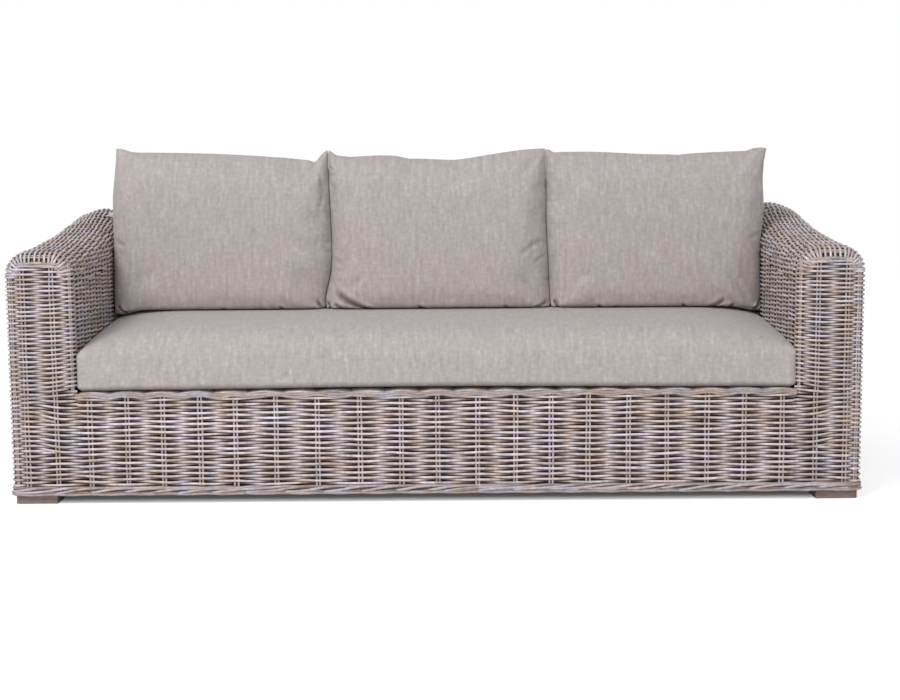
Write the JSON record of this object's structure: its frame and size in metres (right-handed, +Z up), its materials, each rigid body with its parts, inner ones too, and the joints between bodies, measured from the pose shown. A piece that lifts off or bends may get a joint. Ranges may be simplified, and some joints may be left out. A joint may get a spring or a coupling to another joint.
{
  "type": "rattan garden sofa",
  "caption": "Woven cane garden sofa with high rising arms, low wooden feet, one long seat cushion and loose back cushions in grey-beige fabric covers.",
  "frame": {"origin": "on the floor under the middle of the sofa, midway between its ends and between its front and back", "axes": "+X towards the right-hand end as seen from the front, +Y from the front to the back, +Z up"},
  "size_m": [2.316, 0.95, 0.952],
  "materials": {
    "cane": "matte",
    "pole": "satin",
    "timber": "matte",
    "foot": "matte",
    "steel": "satin",
    "cover": "matte",
    "filling": "matte",
    "zip": "matte"
  },
  "bodies": {
    "frame": {"foot_front_right": "foot", "foot_bolt_front_right": "steel", "foot_front_left": "foot", "foot_bolt_front_left": "steel", "foot_back_right": "foot", "foot_bolt_back_right": "steel", "foot_back_left": "foot", "foot_bolt_back_left": "steel", "base_rail_front": "timber", "base_rail_back": "timber", "base_rail_right": "timber", "base_rail_left": "timber", "base_rail_cross": "timber", "right_arm_top_board": "timber", "left_arm_top_board": "timber", "right_front_outer_post": "pole", "left_front_outer_post": "pole", "right_front_inner_post": "pole", "left_front_inner_post": "pole", "right_rear_outer_post": "pole", "left_rear_outer_post": "pole", "right_rear_inner_post": "pole", "left_rear_inner_post": "pole", "seat_rail_front": "pole", "seat_rail_back": "pole", "seat_bearer_left": "pole", "seat_bearer_middle": "pole", "seat_bearer_right": "pole", "seat_prop_front": "pole", "seat_prop_back": "pole", "back_top_board": "timber", "back_post_inner": "pole", "back_post_rear": "pole", "right_arm_weave": "cane", "left_arm_weave": "cane", "front_apron_weave": "cane", "back_weave": "cane", "seat_deck_weave": "cane", "bottom_border_front": "cane", "bottom_border_back": "cane", "bottom_border_right": "cane", "bottom_border_left": "cane", "deck_front_border": "cane"},
    "seat_cushion": {"seat_cushion_cover": "cover", "seat_cushion_filling": "filling", "seat_cushion_zip": "zip"},
    "seat_cushion_slider": {"seat_cushion_zip_slider": "steel"},
    "back_cushion_left": {"back_cushion_left_cover": "cover", "back_cushion_left_filling": "filling", "back_cushion_left_zip": "zip"},
    "back_cushion_left_slider": {"back_cushion_left_zip_slider": "steel"},
    "back_cushion_centre": {"back_cushion_centre_cover": "cover", "back_cushion_centre_filling": "filling", "back_cushion_centre_zip": "zip"},
    "back_cushion_centre_slider": {"back_cushion_centre_zip_slider": "steel"},
    "back_cushion_right": {"back_cushion_right_cover": "cover", "back_cushion_right_filling": "filling", "back_cushion_right_zip": "zip"},
    "back_cushion_right_slider": {"back_cushion_right_zip_slider": "steel"}
  },
  "joints": [
    {"name": "seat_cushion_lift", "type": "slide", "parent": "frame", "child": "seat_cushion", "axis": [0, 0, 1], "range_m": [0, 0.45]},
    {"name": "back_cushion_left_lift", "type": "slide", "parent": "seat_cushion", "child": "back_cushion_left", "axis": [0, 0, 1], "range_m": [0, 0.5]},
    {"name": "back_cushion_centre_lift", "type": "slide", "parent": "seat_cushion", "child": "back_cushion_centre", "axis": [0, 0, 1], "range_m": [0, 0.5]},
    {"name": "back_cushion_right_lift", "type": "slide", "parent": "seat_cushion", "child": "back_cushion_right", "axis": [0, 0, 1], "range_m": [0, 0.5]},
    {"name": "seat_cushion_zip_run", "type": "slide", "parent": "seat_cushion", "child": "seat_cushion_slider", "axis": [-1, 0, 0], "range_m": [0, 1.14]},
    {"name": "back_cushion_left_zip_run", "type": "slide", "parent": "back_cushion_left", "child": "back_cushion_left_slider", "axis": [-1, 0, 0], "range_m": [0, 0.36]},
    {"name": "back_cushion_centre_zip_run", "type": "slide", "parent": "back_cushion_centre", "child": "back_cushion_centre_slider", "axis": [-1, 0, 0], "range_m": [0, 0.36]},
    {"name": "back_cushion_right_zip_run", "type": "slide", "parent": "back_cushion_right", "child": "back_cushion_right_slider", "axis": [-1, 0, 0], "range_m": [0, 0.36]}
  ]
}
